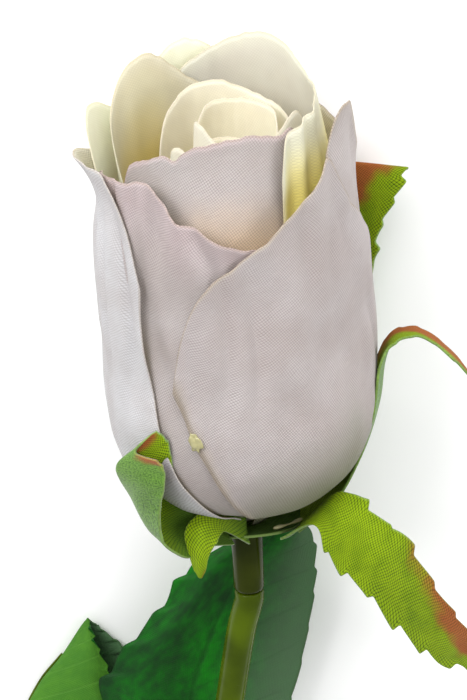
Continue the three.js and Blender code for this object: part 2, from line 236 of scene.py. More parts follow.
def petal_place(cut, u, v):
    """The point of a petal at the shares u of its width and v of its length, in the flower's frame,
    and the same point on its cloth, both in millimetres."""
    left, right = cut["span"]
    top_angle = left + (right - left) * u
    length = FOOT_ARC + along(cut["rim"], top_angle) - SHOULDER
    length += RIM_WAVES * noise.noise(Vector((top_angle * 0.3, left, 0)))
    length += RIM_NICKS * noise.noise(Vector((top_angle, left, 5)))
    start = cut.get("start", 0)
    travel = start + (length - start) * v
    lip = cut.get("lip_length", 6)
    roll = math.radians(along(cut["roll"], top_angle)) if "roll" in cut else 0
    past = max(0, travel - (length - lip))
    radius, height = bud_face(travel - past, along(cut["depth"], top_angle))
    if past and abs(roll) > 0.02:
        bend = roll * past / lip
        radius += lip / roll * (1 - math.cos(bend))
        height += lip / roll * math.sin(bend)
    else:
        height += past
    rise = max(0, height - SHOULDER) / LEAN_HEIGHT
    radius += along(cut["lean"], top_angle) * rise**2
    for fold_angle, fold_width, fold_depth, fold_low, fold_high in cut.get("folds", ()):
        near = math.exp(-(((top_angle - fold_angle) / fold_width) ** 2))
        radius += fold_depth * near * smooth(fold_low, fold_high, height)
    foot_left, foot_right = cut["foot"]
    opened = math.sin(min(1, v / 0.6) * math.pi / 2)
    left_now = foot_left + (left - foot_left) * opened
    right_now = foot_right + (right - foot_right) * opened
    if "left_edge" in cut:
        left_now = along(cut["left_edge"], v)
    if "right_edge" in cut:
        right_now = along(cut["right_edge"], v)
    turned = math.radians(left_now + (right_now - left_now) * u)
    degrees = math.degrees(turned)
    dent = noise.noise(Vector((math.sin(turned) * 1.6, height / 15, math.cos(turned) * 1.6)))
    radius += dent * (0.55 + 0.4 * math.cos(turned)) * smooth(8, 25, height)
    crease = noise.noise(Vector((degrees / 15 + height / 60, height / 30, left)))
    sharp = max(0, CREASE_SHARPNESS - abs(crease)) / CREASE_SHARPNESS
    radius -= CREASE_DEPTH * sharp * smooth(14, 40, height) * cut.get("creased", 0.2)
    pucker = noise.noise(Vector((degrees / 16, height / 4 - degrees / 22, left + 9)))
    radius += PUCKER_DEPTH * pucker * smooth(30, 12, height)
    centre_x, centre_z = cut.get("centre", (0, 0))
    point = Vector((centre_x + radius * math.sin(turned), height, centre_z + radius * math.cos(turned)))
    return point, (radius * (turned - math.radians((left + right) / 2)), travel)


def lay_cloth(sheet_mesh, place, columns, rows, size, base=0.0, dye=1.0):
    """Adds a grid laid on place(u, v), which gives each point and its place on the cloth in
    millimetres. The cut map holds that place and the edge map the distance to the side and end
    edges, in tens of millimetres. The share map holds u and v, v running from base to dye. On the
    calyx low values of v are painted in shade and high ones dyed red; on the leaves u places a
    painted sheen."""
    grid = bmesh.ops.create_grid(sheet_mesh, x_segments=columns, y_segments=rows, size=0.5)
    maps = sheet_mesh.loops.layers.uv
    cut_map = maps.get("cut") or maps.new("cut")
    edge_map = maps.get("edge") or maps.new("edge")
    share_map = maps.get("share") or maps.new("share")
    width, length = size
    for vertex in grid["verts"]:
        u, v = vertex.co.x + 0.5, vertex.co.y + 0.5
        point, on_cloth = place(u, v)
        vertex.co = flower_to_row @ point
        for loop in vertex.link_loops:
            loop[cut_map].uv = (on_cloth[0] / 10, on_cloth[1] / 10)
            loop[edge_map].uv = (min(u, 1 - u) * width / 10, (1 - v) * length / 10)
            loop[share_map].uv = (u, base + v * (dye - base))


def placed(name, shape):
    """The shape as an object of the scene."""
    mesh = bpy.data.meshes.new(name)
    shape.to_mesh(mesh)
    shape.free()
    piece = bpy.data.objects.new(name, mesh)
    bpy.context.scene.collection.objects.link(piece)
    return piece


def smoothed(piece, corners):
    """Shades the piece's faces of this many corners as round ones; 0 means every face."""
    faces = piece.data.polygons
    faces.foreach_set("use_smooth", [corners in (0, len(face.vertices)) for face in faces])


def cloth_piece(name, sheet_mesh, thickness, materials):
    """The finished cloth, its first material outside and its second inside, and its area."""
    area = sum(face.calc_area() for face in sheet_mesh.faces)
    piece = placed(name, sheet_mesh)
    for material in materials:
        piece.data.materials.append(material)
    smoothed(piece, 0)
    fine = piece.modifiers.new("fine", "SUBSURF")
    fine.levels = fine.render_levels = 1
    fine.boundary_smooth = "PRESERVE_CORNERS"
    wall = piece.modifiers.new("wall", "SOLIDIFY")
    wall.thickness = thickness * MM
    wall.offset = 0
    wall.material_offset = 1
    return piece, area


def woven(finish, thread, turn=0.6):
    """Plain weave on the cut map: the height of its threads, and the place on the map."""
    across, up = finish.across("cut")
    place = finish.point(across, up)
    waver = (finish.grain(place, 1.3) - 0.5) * 0.12
    pitch = 10 / thread * math.pi
    warp = (across * math.cos(turn) + up * math.sin(turn) + waver) * pitch
    weft = (up * math.cos(turn) - across * math.sin(turn) + waver) * pitch
    threads = warp.maths("SINE").maths("ABSOLUTE") * weft.maths("SINE").maths("ABSOLUTE")
    slub = finish.grain(finish.point(warp * 0.06, weft * 0.5), 1.0, 3.0)
    return threads.maths("SQRT") + (slub - 0.5) * 0.5, place


def petal_cloth(
    name, body, foot_dye_and_shade, foot_from, foot_full, rim_dye, rim_width, glow, weave=0.8, painted_glow=0.0
):
    """Off-white cloth. Its foot colour and rim dye reach in from the rim, in millimetres; the foot colour
    is a dye, and on the outer petals a green tint darkened with painted shade. Glow is how much light
    comes through it, weave how plainly its threads show, and the last a painted glow, the cloth's own
    colour given off as light in place of the light its neighbours pass on."""
    finish = Finish(name)
    threads, place = woven(finish, THREAD)
    side, end = finish.across("edge")
    cloudy = finish.grain(place, 0.9, 3.0)
    base = finish.blend(finish.tint(body, colour(240, 236, 234), 1.0), body, cloudy.between(0.3, 0.7))
    # Towards the foot: a dye, and on the outer petals a green tint darkened with painted shade.
    graded = (end + (cloudy - 0.5) * 0.9).between(foot_from / 10, foot_full / 10)
    base = finish.blend(base, foot_dye_and_shade, graded)
    nearest = end.maths("MINIMUM", side * 1.4)
    rim = (nearest + (cloudy - 0.5) * 0.25).between(rim_width / 10, 0.0)
    base = finish.blend(base, rim_dye, rim * 0.32)
    cut_line = nearest.between(0.05, 0.015)
    base = finish.tint(base, colour(232, 220, 200), cut_line * 0.5)
    base = finish.tint(base, colour(176, 168, 168), (1 - threads).between(0.0, 1.0) * weave)
    fine = finish.grain(place, 60.0, 2.0)
    normal = finish.bump(threads + fine * 0.4, 0.0001, weave)
    # The emission is a painted glow: the cloth gives off its own colour in place of light passed on by its
    # neighbours.
    cloth = finish.surface(
        Base_Color=base, Roughness=0.8, Normal=normal, Emission_Color=base, Emission_Strength=painted_glow
    )
    return finish.thin(cloth, glow, colour(246, 240, 216))


MAUVE = colour(196, 189, 189)
WHITE = colour(236, 234, 226)
CREAM = colour(240, 236, 216)
GREEN_WHITE = colour(230, 233, 214)
YELLOW = colour(238, 222, 120)
PEACH = colour(222, 196, 168)
PINK = colour(208, 178, 187)
FRAYED = colour(196, 184, 160)
SHADED_CREAM = colour(216, 210, 182)
SOFT_WHITE = colour(212, 211, 202)
OCHRE = colour(208, 188, 108)
COOL = colour(205, 205, 208)
# The outer petals' foot: a green tint, darkened with painted shade where they turn from the light.
FOOT_GREEN_AND_SHADE = colour(126, 130, 102)

outer_outside = petal_cloth("petal_outer_outside", MAUVE, FOOT_GREEN_AND_SHADE, 37, 60, FRAYED, 1.2, 0.12)
outer_inside = petal_cloth("petal_outer_inside", CREAM, YELLOW, 6, 22, WHITE, 3.0, 0.2)
blush_outside = petal_cloth("petal_blush_outside", MAUVE, FOOT_GREEN_AND_SHADE, 46, 76, PINK, 13.0, 0.14)
cool_outside = petal_cloth("petal_cool_outside", COOL, FOOT_GREEN_AND_SHADE, 60, 84, COOL, 2.0, 0.12, 0.6)
cup_outside = petal_cloth("petal_cup_outside", MAUVE, PEACH, 7, 20, PINK, 1.6, 0.12)
cup_inside = petal_cloth("petal_cup_inside", SHADED_CREAM, OCHRE, 5, 20, SOFT_WHITE, 3.5, 0.2, 0.25)
right_outside = petal_cloth("petal_right_outside", GREEN_WHITE, YELLOW, 0, 13, WHITE, 1.5, 0.3, 0.4)
right_inside = petal_cloth("petal_right_inside", SOFT_WHITE, YELLOW, 10, 40, GREEN_WHITE, 3.5, 0.2, 0.25)
pale_outside = petal_cloth("petal_pale_outside", GREEN_WHITE, YELLOW, 7, 20, WHITE, 2.0, 0.3, 0.25, 0.05)
pale_inside = petal_cloth("petal_pale_inside", GREEN_WHITE, YELLOW, 12, 28, GREEN_WHITE, 2.5, 0.3, 0.2, 0.12)
heart_outside = petal_cloth("petal_heart_outside", SOFT_WHITE, YELLOW, 5, 22, WHITE, 2.0, 0.3, 0.25, 0.08)
heart_inside = petal_cloth("petal_heart_inside", CREAM, YELLOW, 7, 28, WHITE, 2.5, 0.3, 0.2, 0.1)

# span: the angle of a petal's two edges at its widest, 0 on the side that faces up and 90 on the
# right. rim: how high the rim stands at each angle. foot: the angles of its foot. depth: how far
# inside the bud's face it lies. lean: how far it leans out at the rim. roll: how far its lip is
# bent out, in degrees. folds: angle, width, depth, and the heights between which each one grows.
PETALS = [
    {
        "name": "petal_outer_front_right",
        "creased": 1,
        "span": (-28, 118),
        "foot": (15, 90),
        "left_edge": [(0, 15), (0.25, 8), (0.47, -4.5), (0.65, -12.5), (0.83, -21), (1, -28)],
        "rim": [
            (-28, 32.5), (-26.6, 38), (-21, 44.7), (-12, 50.6), (1, 55), (8, 57.4), (15, 58.7),
            (24, 61.9), (34, 65.2), (40, 68), (44, 69.6), (47, 68), (52, 63.5), (58, 60.5), (66, 57.5),
            (76, 53.5), (86, 49.5), (100, 46), (118, 44),
        ],
        "depth": [(-28, 0), (118, 0)],
        "lean": [(-28, 0), (10, 0), (40, -0.4), (60, -1.4), (76, -1.6), (92, -1.6), (118, -1.4)],
        "roll": [(-28, 0), (0, 6), (20, 12), (40, 8), (60, 0), (118, 4)],
        "cloth": (outer_outside, outer_inside),
        "grid": (60, 44),
    },
    {
        "name": "petal_outer_left",
        "creased": 1.3,
        "span": (-152, -41),
        "foot": (-140, 0),
        "right_edge": [(0, 0), (0.25, -15), (0.43, -28), (0.58, -35), (0.75, -40), (0.9, -42), (1, -41)],
        "rim": [
            (-152, 49), (-130, 58), (-112, 62.2), (-100, 64.6), (-90, 65.8), (-80, 66), (-66, 65.2),
            (-58, 63.2), (-51, 60), (-46, 56), (-41, 49),
        ],
        "depth": [(-152, 0), (-41, 0)],
        "lean": [(-152, -0.8), (-120, -0.6), (-98, -0.2), (-84, 0), (-66, -0.2), (-41, 0)],
        "lip_length": 10,
        "roll": [(-152, 5), (-110, 22), (-92, 40), (-80, 32), (-64, 10), (-41, 2)],
        "cloth": (cool_outside, outer_inside),
        "grid": (48, 44),
    },
    {
        "name": "petal_outer_front_left",
        "creased": 1.3,
        "span": (-84, 26),
        "foot": (-70, 18),
        "rim": [
            (-84, 62), (-79, 63.7), (-53, 65.2), (-40.5, 66.2), (-36, 66), (-32, 65), (-27.6, 63.2),
            (-21.6, 61.4), (-14, 60.9), (-7, 59.4), (1, 58), (9, 57), (26, 55),
        ],
        "depth": [(-84, 0.7), (26, 0.7)],
        "lean": [(-84, -0.6), (-40, 0), (0, 0), (26, -0.6)],
        "roll": [(-84, 0), (-40, 4), (-20, 12), (0, 22), (12, 12), (26, 0)],
        "folds": [(-36, 4, -0.7, 46, 60)],
        "cloth": (blush_outside, outer_inside),
        "grid": (46, 42),
    },
    {
        "name": "petal_outer_right",
        "span": (46, 108),
        "foot": (56, 96),
        "rim": [
            (46, 69), (49, 73), (52, 75.4), (57, 76.6), (63, 76), (69, 73.4), (77, 69), (90, 65),
            (108, 62),
        ],
        "depth": [(46, 0.8), (108, 0.9)],
        "lean": [(46, -1.2), (58, -1.2), (76, -2.6), (108, -2.6)],
        "roll": [(46, 0), (52, 16), (60, 26), (80, 16), (108, 4)],
        "cloth": (outer_outside, outer_inside),
        "grid": (28, 42),
    },
    {
        "name": "petal_outer_back",
        "span": (106, 222),
        "foot": (115, 212),
        "rim": [
            (106, 62), (120, 65), (128, 65.5), (138, 66.5), (160, 68), (180, 68), (205, 65), (222, 58),
        ],
        "depth": [(106, 1.2), (222, 1.2)],
        "lean": [(106, -2.6), (140, -1.6), (222, -1)],
        "roll": [(106, 0), (130, 14), (190, 14), (222, 0)],
        "cloth": (outer_outside, outer_inside),
        "grid": (44, 42),
    },
    {
        "name": "petal_cup_left",
        "span": (226, 290),
        "foot": (230, 262),
        "rim": [
            (226, 64), (231, 66), (238, 67.6), (247, 69.8), (254, 71), (262, 71), (269, 68.6),
            (276, 64), (283, 58), (290, 52),
        ],
        "depth": [(226, 2.2), (290, 2.2)],
        "lean": [(226, -0.8), (240, 1), (262, 2.4), (280, 1.6), (290, 0.6)],
        "roll": [(226, 4), (240, 12), (290, 4)],
        "cloth": (pale_outside, pale_inside),
        "grid": (28, 40),
    },
    {
        "name": "petal_cup_back",
        "span": (168, 224),
        "foot": (172, 222),
        "rim": [
            (168, 66), (178, 71), (187, 74.6), (192, 75.8), (199, 76.8), (206, 76.9), (213, 76),
            (220, 73.6), (224, 70),
        ],
        "depth": [(168, 2.4), (224, 2.4)],
        "lean": [(168, -1.4), (224, -1.4)],
        "roll": [(168, 0), (200, 10), (224, 0)],
        "cloth": (pale_outside, pale_inside),
        "grid": (26, 40),
    },
    {
        "name": "petal_cup_front",
        "span": (-68, 46),
        "foot": (-50, 40),
        "rim": [
            (-68, 62), (-64, 65), (-58, 67), (-43, 69), (-36, 70), (-32, 70.2), (-29, 69.3),
            (-25, 70.6), (-20, 71.8), (-10, 72.7), (1, 73.2), (9, 73.6), (20, 73.2), (29, 72.7),
            (34, 73.2), (40, 72.5), (46, 70),
        ],
        "depth": [(-68, 3.4), (46, 3.4)],
        "lean": [(-68, -1), (-30, -1), (0, -1.4), (24, -2.4), (46, -4)],
        "roll": [(-68, 0), (-30, 8), (0, 10), (30, 6), (46, 0)],
        "folds": [(-29, 3, -0.5, 60, 70)],
        "cloth": (cup_outside, cup_inside),
        "grid": (48, 40),
    },
    {
        "name": "petal_cup_right",
        "span": (25, 216),
        "foot": (45, 200),
        "rim": [
            (25, 66), (26, 70), (29, 72.6), (34, 73.8), (44, 74.6), (60, 75), (75, 75), (95, 74.4),
            (120, 73.4), (134, 74), (143, 75.4), (153, 77), (163, 77.9), (174, 77.3), (187, 75.8),
            (202, 73.6), (216, 71),
        ],
        "depth": [(25, 2.4), (60, 2.5), (216, 4)],
        "lean": [
            (25, -1.2), (44, -2.4), (60, -4.2), (85, -5.4), (110, -5), (135, -3), (155, -1.4),
            (216, -1.6),
        ],
        "roll": [(25, 0), (110, 0), (150, 12), (180, 10), (216, 0)],
        "folds": [
            (31, 2.6, -0.9, 46, 66), (37, 2.4, 0.5, 46, 66), (44, 3, -0.9, 46, 66),
            (52, 3, 0.5, 46, 66),
        ],
        "cloth": (right_outside, right_inside),
        "grid": (76, 40),
    },
    {
        "name": "petal_cup_back_left",
        "span": (184, 322),
        "foot": (190, 310),
        "rim": [
            (184, 69), (196, 70), (206, 72), (214, 74), (221, 75.8), (229, 76.6), (238, 75.8),
            (245, 73.4), (250, 70.5), (256, 66.6), (262, 62.4), (270, 58), (280, 55), (293, 52),
            (322, 50),
        ],
        "depth": [(184, 5.2), (230, 4.8), (322, 4.6)],
        "lean": [
            (184, -2.6), (210, -1.4), (236, 0.6), (252, 2.6), (262, 1.4), (274, -2), (290, -4),
            (322, -4),
        ],
        "roll": [(184, 0), (225, 12), (250, 4), (322, 0)],
        "cloth": (pale_outside, cup_inside),
        "grid": (58, 40),
    },
    {
        "name": "petal_heart_back",
        "span": (88, 268),
        "foot": (88, 268),
        "start": 30,
        "rim": [
            (88, 66), (113, 69), (146, 70.2), (170, 71.6), (184, 72.6), (200, 72.6), (217, 72),
            (240, 69.6), (258, 66.4), (268, 62),
        ],
        "depth": [(88, 10.4), (268, 10.4)],
        "lean": [(88, -1.6), (268, -1.4)],
        "centre": (-0.6, 0.5),
        "roll": [(88, 0), (160, 6), (268, 0)],
        "cloth": (heart_outside, heart_inside),
        "grid": (46, 26),
    },
    {
        "name": "petal_heart_front",
        "span": (-74, 78),
        "foot": (-74, 78),
        "start": 30,
        "rim": [(-74, 58), (-20, 64), (10, 67), (30, 69.6), (45, 71.8), (58, 73.2), (68, 72), (78, 68)],
        "depth": [(-74, 8.6), (78, 8.6)],
        "lean": [(-74, -2), (78, -1.6)],
        "cloth": (heart_outside, heart_inside),
        "grid": (38, 26),
    },
    {
        "name": "petal_heart_right",
        "span": (40, 262),
        "foot": (40, 262),
        "start": 32,
        "rim": [
            (40, 64), (70, 67.6), (95, 70), (120, 70.6), (180, 71), (215, 71), (235, 69.8), (250, 67),
            (262, 62),
        ],
        "depth": [(40, 13), (262, 13.6)],
        "lean": [(40, -2.4), (262, -2.4)],
        "centre": (0.8, 0.5),
        "cloth": (heart_outside, heart_inside),
        "grid": (46, 26),
    },
    {
        "name": "petal_heart_left",
        "span": (272, 350),
        "foot": (272, 350),
        "start": 32,
        "rim": [(272, 60), (282, 65), (296, 67), (320, 66), (350, 60)],
        "depth": [(272, 11), (350, 11)],
        "lean": [(272, -2), (350, -2)],
        "cloth": (heart_outside, heart_inside),
        "grid": (26, 26),
    },
    {
        "name": "petal_heart_roll",
        "span": (-72, 210),
        "foot": (-72, 210),
        "start": 34,
        "rim": [
            (-72, 70.6), (-64, 71), (-50, 70.4), (-30, 69.4), (0, 67.4), (40, 66), (140, 66),
            (210, 66),
        ],
        "depth": [(-72, 15.2), (210, 16.6)],
        "lean": [(-72, -2.2), (210, -2.2)],
        "centre": (-1, 1.6),
        "cloth": (heart_outside, heart_inside),
        "grid": (44, 26),
    },
]

for cut in PETALS:
    left, right = cut["span"]
    tall = max(height for _, height in cut["rim"])
    wide = BUD_RADIUS - along(cut["depth"], (left + right) / 2)
    size = (math.radians(right - left) * wide, FOOT_ARC + tall - SHOULDER - cut.get("start", 0))
    columns, rows = cut["grid"]
    blade = bmesh.new()
    lay_cloth(blade, lambda u, v: petal_place(cut, u, v), columns, rows, size)
    cloth_name = cut["name"].replace("petal_", "cloth_")
    piece, area = cloth_piece(cloth_name, blade, PETAL_THICKNESS, cut["cloth"])
    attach(piece, "root")
    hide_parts(cut["name"])
    "petal_cloth_outer" if "outer" in cut["name"] else "petal_cloth_inner"
    size[0] * MM
    size[1] * MM

# ----------------------------------------------------------
# Calyx. One star of six arms and a middle, die-cut from coarse green cloth with toothed sides and
# slid up the pin under the bud. The arms are laid one by one, the short one with the middle. The
# outer face is fuzzy and paler, and the tips are dyed red.
SEPAL_THICKNESS = 0.4
SEPAL_THREAD = 0.58
DISC_RADIUS = 9.3
DISC_LEVEL = -0.7
PIN_HOLE = 2.1
ARM_ROOT = 7.5
TOOTH_ROOM = 0.28
TOOTH_SHIFT = 0.35


def net_place(arm, u, v):
    """The point of a cloth arm or leaf, whose rows run across it from its base to its tip."""
    rows = arm["rows"]
    last = len(rows) - 1
    near = min(int(v * last), last - 1)

    def on_row(row, axis):
        stations = [(k / (len(row) - 1), point[axis]) for k, point in enumerate(row)]
        return along(stations, u)

    used = range(max(0, near - 1), min(last, near + 2) + 1)
    point = Vector([along([(k / last, on_row(rows[k], axis)) for k in used], v) for axis in range(3)])
    left = Vector([along([(k / last, rows[k][0][axis]) for k in used], v) for axis in range(3)])
    right = Vector([along([(k / last, rows[k][-1][axis]) for k in used], v) for axis in range(3)])
    across = right - left
    teeth = arm["teeth"]
    if across.length > 1:
        reach = max(0, abs(u - 0.5) * 2 - 1 + TOOTH_ROOM) / TOOTH_ROOM
        counted = v * teeth["count"] + (TOOTH_SHIFT if u < 0.5 else 0)
        bite = counted % 1
        grown = smooth(teeth["first"], teeth["first"] + 0.08, v) * smooth(1, 0.9, v)
        chance = noise.noise(Vector((math.floor(counted) * 1.7, u > 0.5, 3.3)))
        depth = teeth["depth"] * (teeth.get("right", 1) if u > 0.5 else 1) * (1 + chance)
        point += across.normalized() * math.copysign(reach * bite * depth * grown, u - 0.5)
    width, length = net_size(arm)
    return point, ((u - 0.5) * width, v * length)


def net_size(net):
    """Flat width and length of a cloth arm or leaf: its longest row with the teeth, and its run
    from row to row along the middle."""
    rows = [[Vector(point) for point in row] for row in net["rows"]]
    widths = [sum((b - a).length for a, b in zip(row, row[1:])) for row in rows]
    middles = [row[len(row) // 2] for row in rows]
    run = sum((b - a).length for a, b in zip(middles, middles[1:]))
    return max(widths) + 2 * net["teeth"]["depth"], run


def disc_place(u, v):
    angle = 2 * math.pi * u
    radius = PIN_HOLE + (DISC_RADIUS - PIN_HOLE) * v
    ruffle = (0.25 * math.sin(3 * angle + 1) + 1.5 * max(0, math.cos(angle))) * v * v
    point = Vector((radius * math.sin(angle), DISC_LEVEL + ruffle, radius * math.cos(angle)))
    return point, (point.x, point.z)


def sepal_cloth(name, body, gap, red, fuzz):
    """Green cloth, painted in shade where the share map runs low. Red is how far the dye has spread
    from the tip, from 0 to 1, and fuzz hides the weave."""
    finish = Finish(name)
    threads, place = woven(finish, SEPAL_THREAD, 0.5)
    across, ahead = finish.across("share")
    cloudy = finish.grain(place, 1.6, 4.0)
    hairs = finish.grain(place, 26.0, 5.0)
    raised = threads * (1 - fuzz) + hairs * fuzz
    base = finish.blend(gap, body, raised.between(0.05 + 0.2 * fuzz, 0.8 - 0.15 * fuzz))
    base = finish.tint(base, colour(196, 210, 150), cloudy.between(0.35, 0.8) * 0.8)
    # Painted shade: near the foot of each arm and over the disc the cloth turns dark green, as if unlit.
    unlit = finish.blend(colour(22, 52, 6), colour(70, 110, 34), hairs)
    base = finish.blend(base, unlit, ahead.between(0.1, -0.4) * 0.85)
    graded = (ahead + across * 0.55 + (cloudy - 0.5) * 0.4).between(1.42 - red, 1.66 - red)
    red_cloth = finish.blend(colour(96, 40, 10), colour(190, 84, 56), threads)
    base = finish.blend(base, red_cloth, graded * 0.85)
    side, end = finish.across("edge")
    frayed = side.maths("MINIMUM", end) + (hairs - 0.5) * 0.06
    base = finish.blend(base, colour(150, 172, 96), frayed.between(0.03, 0.0) * 0.4)
    normal = finish.bump(threads * (1 - fuzz) + hairs * fuzz * 1.6, 0.00012, 0.7)
    cloth = finish.surface(
        Base_Color=base, Roughness=0.8, Normal=normal, Specular_IOR_Level=0.2, Sheen_Weight=0.3 * fuzz
    )
    return finish.thin(cloth, 0.14, colour(110, 140, 10))


sepal_inside = sepal_cloth("sepal_inside", colour(148, 178, 12), colour(42, 64, 0), 0.46, 0.05)
sepal_outside = sepal_cloth("sepal_outside", colour(112, 156, 62), colour(30, 66, 12), 0.05, 0.9)

SEPALS = [
    # out to the left from the front, then folded up along the bud with its front half turned over
    {"name": "front_left", "rows": [
        [(-0.5, 3, 6), (-1.5, 2.5, 7), (-2.5, 1.5, 8), (-2.5, 0.5, 8.5), (-2, -0.5, 9)],
        [(-5.5, 9, 12.8), (-6, 6.5, 10.5), (-7, 4.5, 10.5), (-7, 3, 11.5), (-6.5, 1.5, 13)],
        [(-9, 11.5, 14.3), (-10, 8, 11.5), (-11, 5, 11), (-11, 3, 12.5), (-9.5, 0.5, 14.5)],
        [(-11.5, 13.5, 14.8), (-13.5, 9.5, 11), (-15, 6, 11), (-15, 5, 13.5), (-13, 5.5, 17)],
        [(-11, 16.5, 17.2), (-15, 13.5, 12.5), (-17.5, 10, 11), (-17, 11.5, 15), (-13, 12.5, 19)],
        [(-11, 20.5, 18.5), (-15, 18.5, 16), (-19.5, 15.5, 14), (-16, 16, 18), (-12.2, 16.5, 20)],
        [(-11.5, 24, 19), (-14.5, 22, 17.5), (-19.5, 18.5, 15.2), (-16, 19.2, 18.5), (-12, 20, 20)],
        [(-13, 26, 19), (-14.2, 25, 18.6), (-16.5, 22, 17.6), (-15.5, 21.6, 18.8), (-13.2, 21.4, 20)]],
     "teeth": {"count": 9, "first": 0.3, "depth": 0.6}, "grid": (28, 56), "shade": (-0.9, 1.14)},
    # short, bent down in front
    {"name": "front", "rows": [
        [(0, 3, 6), (0, 1.5, 7.5), (0.5, -0.5, 9)],
        [(-3.5, 5.5, 9), (-3, 4.5, 10.5), (-3, 3, 11)],
        [(-6.5, 7, 11), (-5.5, 5.5, 12.5), (-4, 3.5, 12.5)],
        [(-9, 5.5, 12.5), (-7, 5, 14.5), (-5, 2.5, 14)],
        [(-9.5, 3, 13.5), (-7.5, 2.5, 15), (-6, 1, 14.5)],
        [(-8.5, -1, 14), (-7.5, -1, 14.8), (-6.5, -1, 14.5)],
        [(-7.8, -3.2, 14.3), (-7.5, -3.3, 14.3), (-7.2, -3.2, 14.3)]],
     "teeth": {"count": 4, "first": 0.4, "depth": 0.3}, "grid": (12, 28), "shade": (-0.3, 0.6)},
    # drooping away to the right
    {"name": "right", "rows": [
        [(5.5, -0.6, 7.5), (7, -0.6, 6.5), (8.5, -0.6, 4)],
        [(11, 3.5, 10.5), (12.5, 5.5, 10), (15, 8.5, 9)],
        [(13.5, -1, 12), (16, 3.5, 12.5), (18.5, 7.5, 11.5)],
        [(16, -4, 12.5), (18.5, 0.5, 13), (22, 4.5, 12)],
        [(19.5, -8, 12), (22, -3.5, 12.5), (25, 1, 11.5)],
        [(23.5, -15, 9.5), (25.5, -10, 10), (28, -5.5, 9.5)],
        [(27.5, -21.5, 6), (29.5, -17, 6.5), (31.5, -13.5, 6.5)],
        [(31.5, -28, 2), (33, -24.5, 2.5), (34.5, -20.5, 2.5)],
        [(36.5, -32.5, -3), (36.5, -30.5, -3), (37.5, -29, -3)],
        [(40, -40, -9), (40.2, -40, -9), (40.5, -40, -9)]],
     "teeth": {"count": 8, "first": 0.12, "depth": 1.6}, "grid": (24, 110)},
    # up the right side, edge on, and curled away from the bud
    {"name": "right_side", "rows": [
        [(8.5, -0.9, 5), (8.8, -0.9, 0), (8.5, -0.9, -4)],
        [(14.5, 4.5, 5), (15.5, 4.5, 0), (14.5, 4.5, -5)],
        [(18.5, 12, 5), (19.6, 12, 0), (18.5, 12, -5)],
        [(21, 20.5, 5), (22.2, 20.5, 0), (21, 20.5, -5)],
        [(22.2, 28.5, 4.5), (23.2, 27.5, 0), (22.2, 26, -4)],
        [(24.6, 31.6, 2.4), (25, 31.4, 0), (24.6, 31.2, -2)],
        [(29, 32.1, 1.5), (29, 32, 0), (29, 32, -1.3)],
        [(33.8, 28.2, 1.2), (33.8, 28, 0), (33.8, 28, -1.1)],
        [(38, 22.5, 0.3), (38, 22.4, 0), (38, 22.3, -0.3)]],
     "teeth": {"count": 12, "first": 0.3, "depth": 0.6}, "grid": (12, 80),
     "shade": (0.0, 1.2)},
    # up the far right side, its tip folded back
    {"name": "far_side", "rows": [
        [(8.5, -0.9, -3.5), (6.5, -0.9, -6), (3.5, -0.9, -8)],
        [(13.5, 3.5, -8.5), (11, 3.5, -11.5), (7.5, 3.5, -13.5)],
        [(18.3, 14, -12), (14.8, 14, -16), (10, 14, -19)],
        [(20.7, 28, -13.5), (16, 28, -17.7), (10.5, 28, -20.6)],
        [(22, 37, -13.5), (17.4, 38, -17.2), (12, 38, -20.5)],
        [(22.8, 43.5, -14), (19.5, 44.5, -16.8), (15, 45, -19.5)],
        [(25.6, 49.5, -14.5), (21.8, 50.5, -15.8), (17.5, 51, -17.8)],
        [(27, 54, -15.6), (22.5, 54.4, -16.4), (18.6, 54.6, -17.2)],
        [(24.5, 50, -19), (22.5, 49, -20), (20.5, 50.5, -20)]],
     "teeth": {"count": 13, "first": 0.5, "depth": 1.1}, "grid": (18, 90),
     "shade": (0.0, 1.1)},
    # flat along the underside, between the bud and the table
    {"name": "under", "rows": [
        [(1.5, -0.9, -8.3), (-1.6, -0.9, -8.6), (-4.5, -0.9, -7.5)],
        [(3, 3.5, -14), (-2.5, 3.5, -14.3), (-7, 3.5, -13)],
        [(2.6, 12, -19.8), (-3.5, 12, -19.8), (-9, 12, -18)],
        [(2.4, 26, -21.9), (-3.8, 26, -21.8), (-9.4, 26, -20.2)],
        [(0.4, 40, -21.9), (-3.9, 40, -21.8), (-7.8, 40, -20.9)],
        [(-3.4, 51, -21.7), (-3.8, 51, -21.7), (-4.2, 51, -21.6)]],
     "teeth": {"count": 11, "first": 0.3, "depth": 0.9}, "grid": (14, 72)},
]

disc = bmesh.new()
# The disc's share values lie below the arms', so the whole disc is painted in shade.
lay_cloth(disc, disc_place, 48, 6, (2 * math.pi * DISC_RADIUS, DISC_RADIUS - PIN_HOLE), -1.0, -0.5)
bmesh.ops.remove_doubles(disc, verts=disc.verts, dist=1e-6)
for arm in SEPALS:
    size = net_size(arm)
    with_middle = arm["name"] == "front"
    strip = disc if with_middle else bmesh.new()
    # Each arm's share run: its low end near the base is painted in shade, its high end at the tip dyed red.
    shade = arm.get("shade", (0.0, 1.0))
    lay_cloth(strip, lambda u, v: net_place(arm, u, v), *arm["grid"], size, *shade)
    if with_middle:
        size = (2 * DISC_RADIUS, DISC_RADIUS + ARM_ROOT + size[1])
    faces = (sepal_outside, sepal_inside)
    piece, area = cloth_piece("cloth_calyx_" + arm["name"], strip, SEPAL_THICKNESS, faces)
    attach(piece, "root")
    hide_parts("calyx")
    size[0] * MM
    size[1] * MM

# ----------------------------------------------------------
# Stem. A rod of soft olive plastic moulded over a steel wire, slightly bent, with a fine seam along
# both sides of the mould. Its top end stops just under the flower's moulded socket.
STEM_RADIUS = 2.35
SOCKET_RADIUS = 2.55
SOCKET_TOP = -1.5
SOCKET_BOTTOM = -14
GAP = 0.3
foot_of_bud = flower_to_row @ Vector((0, 0, 0))


